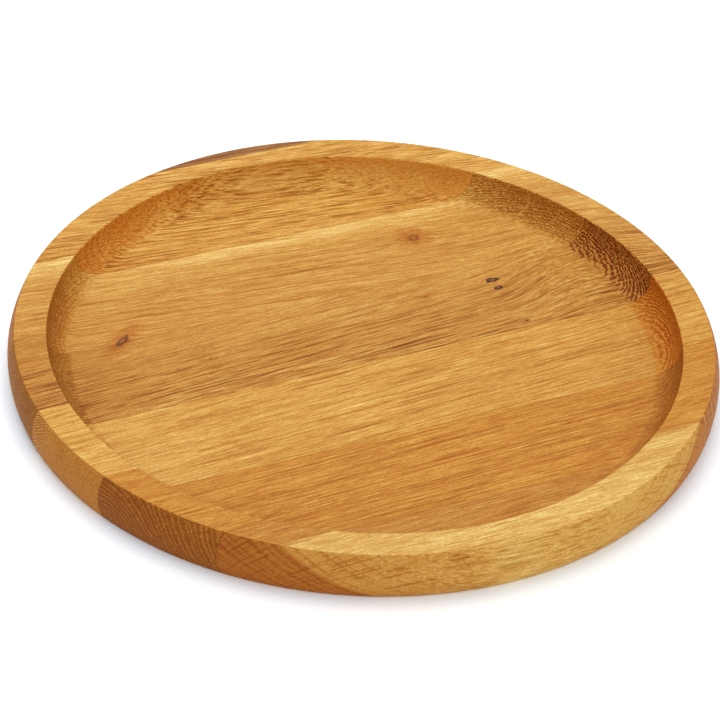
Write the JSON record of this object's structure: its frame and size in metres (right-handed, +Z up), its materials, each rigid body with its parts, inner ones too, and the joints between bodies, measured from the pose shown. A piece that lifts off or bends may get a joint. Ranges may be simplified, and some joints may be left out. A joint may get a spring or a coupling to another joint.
{
  "type": "steak board",
  "caption": "Round oak serving board glued up from parallel staves, with a coved flat-bottomed recess, a flat rim and a softly bulging outer edge.",
  "frame": {"origin": "on the axis of the round board, in the plane of its underside", "axes": "+Z up out of the recess, along the board's axis; X along the grain and the seams; -Y towards the front stave"},
  "size_m": [0.28, 0.28, 0.02],
  "materials": {
    "dark_oak": "oiled satin oak, dark reddish brown",
    "golden_oak": "oiled satin oak, orange gold",
    "straw_oak": "oiled satin oak, brown gold with a reddish knot",
    "brown_oak": "oiled satin oak, darker brown gold with small knots",
    "pale_oak": "oiled satin oak, pale gold",
    "orange_oak": "oiled satin oak, orange brown",
    "sapwood_oak": "oiled satin oak, orange brown heartwood and pale sapwood"
  },
  "bodies": {
    "root": {"back_edge_stave": "dark_oak", "back_stave": "golden_oak", "back_middle_stave": "straw_oak", "middle_stave": "brown_oak", "front_middle_stave": "pale_oak", "front_stave": "orange_oak", "front_edge_stave": "sapwood_oak"}
  },
  "joints": []
}
